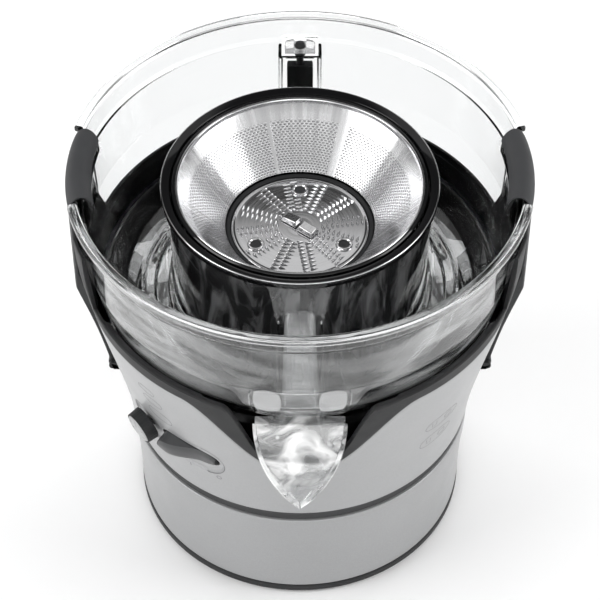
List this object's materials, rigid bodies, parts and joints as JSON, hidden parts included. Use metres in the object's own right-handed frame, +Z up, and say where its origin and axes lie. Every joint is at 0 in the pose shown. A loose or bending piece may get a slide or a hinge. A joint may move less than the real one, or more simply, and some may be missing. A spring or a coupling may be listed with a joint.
{
  "type": "centrifugal juicer",
  "caption": "Round centrifugal juicer without its lid: clear pulp bowl with pouring spout, steel filter basket, side clamps, rocker switch and speed knob.",
  "frame": {"origin": "on the drive axis, at the level of the surface that the feet stand on", "axes": "+Z up along the drive axis; -Y points to the front, where the spout is; +X to the right of someone facing the spout"},
  "size_m": [0.2486, 0.265, 0.2565],
  "materials": {
    "silver": "satin silver",
    "black": "fine-grained matte",
    "gloss_black": "glossy",
    "grey_trim": "satin",
    "soft_grip": "soft matte",
    "clear": "transparent, polished",
    "stainless": "brushed",
    "polished_steel": "polished",
    "iron": "laminated, lacquered",
    "copper": "enamelled winding",
    "carbon": "pressed carbon",
    "board": "solder-masked",
    "rubber": "matte"
  },
  "bodies": {
    "base": {"base_plate": "black", "foot_1": "rubber", "foot_2": "rubber", "foot_3": "rubber", "foot_4": "rubber", "base_screw_1": "polished_steel", "base_screw_2": "polished_steel", "base_screw_3": "polished_steel", "base_screw_4": "polished_steel", "lower_housing": "silver", "trim_band": "grey_trim", "upper_housing": "silver", "collar": "black", "inner_deck": "gloss_black", "shaft_seal": "rubber", "cord_gland": "rubber", "motor_stator": "iron", "field_coil_front": "copper", "field_coil_rear": "copper", "motor_frame": "iron", "motor_bridge": "iron", "bearing_lower": "polished_steel", "bearing_upper": "polished_steel", "carbon_brush_left": "carbon", "carbon_brush_right": "carbon", "control_board": "board", "interlock_switch": "black", "pulp_bowl": "clear", "juice_collector": "clear", "collector_ring": "gloss_black", "spout": "clear", "clamp_bracket_left": "black", "clamp_pin_left": "polished_steel", "clamp_bracket_right": "black", "clamp_pin_right": "polished_steel", "speed_switch": "black", "rocker_switch": "black", "interlock_column": "black"},
    "rotor": {"motor_shaft": "polished_steel", "rotor_core": "iron", "commutator": "copper", "cooling_fan": "black", "drive_coupling": "black"},
    "filter": {"filter_rim": "polished_steel", "filter_cone": "stainless", "filter_base": "black", "grating_disc": "stainless", "grating_lug": "stainless", "disc_rivet_1": "polished_steel", "disc_rivet_2": "polished_steel", "disc_rivet_3": "polished_steel"},
    "clamp_left": {"clamp_arm_left": "black", "clamp_grip_left": "soft_grip"},
    "clamp_right": {"clamp_arm_right": "black", "clamp_grip_right": "soft_grip"},
    "knob": {"speed_knob": "black", "knob_cap": "silver"},
    "rocker": {"power_rocker": "grey_trim"},
    "plunger": {"interlock_plunger": "black"}
  },
  "joints": [
    {"name": "drive_spin", "type": "hinge", "parent": "base", "child": "rotor", "pos_m": [0, 0, 0.1], "axis": [0, 0, 1], "continuous": true},
    {"name": "filter_lift", "type": "slide", "parent": "rotor", "child": "filter", "axis": [0, 0, 1], "range_m": [0, 0.07]},
    {"name": "clamp_left_swing", "type": "hinge", "parent": "base", "child": "clamp_left", "pos_m": [-0.10677, 0, 0.108], "axis": [0, -1, 0], "range_deg": [0, 45]},
    {"name": "clamp_right_swing", "type": "hinge", "parent": "base", "child": "clamp_right", "pos_m": [0.10677, 0, 0.108], "axis": [0, 1, 0], "range_deg": [0, 45]},
    {"name": "speed_turn", "type": "hinge", "parent": "base", "child": "knob", "pos_m": [-0.0833, -0.06209, 0.117], "axis": [-0.786, -0.5859, -0.1971], "range_deg": [-135, 135]},
    {"name": "power_rock", "type": "hinge", "parent": "base", "child": "rocker", "pos_m": [-0.05946, -0.08184, 0.1186], "axis": [-0.1169, -0.1609, 0.98], "range_deg": [-16, 0]},
    {"name": "interlock_press", "type": "slide", "parent": "base", "child": "plunger", "axis": [0, 0, -1], "range_m": [0, 0.004], "stiffness_N_per_m": 150, "springref_m": -0.004}
  ]
}
